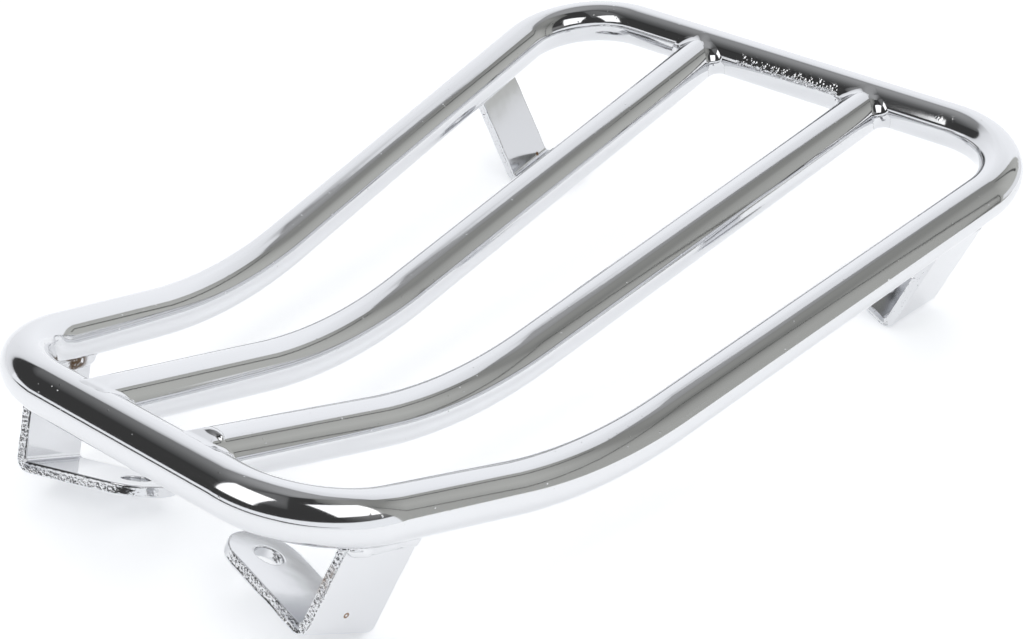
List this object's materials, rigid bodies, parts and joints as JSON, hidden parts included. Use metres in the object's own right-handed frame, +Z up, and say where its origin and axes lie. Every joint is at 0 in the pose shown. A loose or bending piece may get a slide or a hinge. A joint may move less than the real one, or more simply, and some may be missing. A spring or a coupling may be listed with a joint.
{
  "type": "motorcycle luggage rack",
  "caption": "Motorcycle luggage rack: tapered loop of chromed tube that rises at both ends, with inner bars between its crossbars and bent strip feet with bolt holes.",
  "frame": {"origin": "middle of the rack's outline seen from above, on the plane that the bends of its brackets stand on", "axes": "+X to the right looking along +Y, +Y from the narrow front end to the wide rear end, +Z up"},
  "size_m": [0.2214, 0.3392, 0.0597],
  "materials": {
    "plated_tube": "polished chrome plating on steel tube",
    "plated_strip": "chrome plating on sheared steel strip, rough on the cut edges",
    "plated_weld": "chrome plating over ground weld"
  },
  "bodies": {
    "root": {"front_bar_weld_left": "plated_weld", "front_bar_weld_right": "plated_weld", "front_left_bracket": "plated_strip", "front_left_bracket_weld_inner": "plated_weld", "front_left_bracket_weld_outer": "plated_weld", "front_right_bracket": "plated_strip", "front_right_bracket_weld_inner": "plated_weld", "front_right_bracket_weld_outer": "plated_weld", "inner_bar_left": "plated_tube", "inner_bar_right": "plated_tube", "loop_butt_weld": "plated_weld", "outer_loop": "plated_tube", "rear_bar_weld_left": "plated_weld", "rear_bar_weld_right": "plated_weld", "rear_left_bracket": "plated_strip", "rear_left_bracket_weld_inner": "plated_weld", "rear_left_bracket_weld_outer": "plated_weld", "rear_right_bracket": "plated_strip", "rear_right_bracket_weld_inner": "plated_weld", "rear_right_bracket_weld_outer": "plated_weld"}
  },
  "joints": []
}
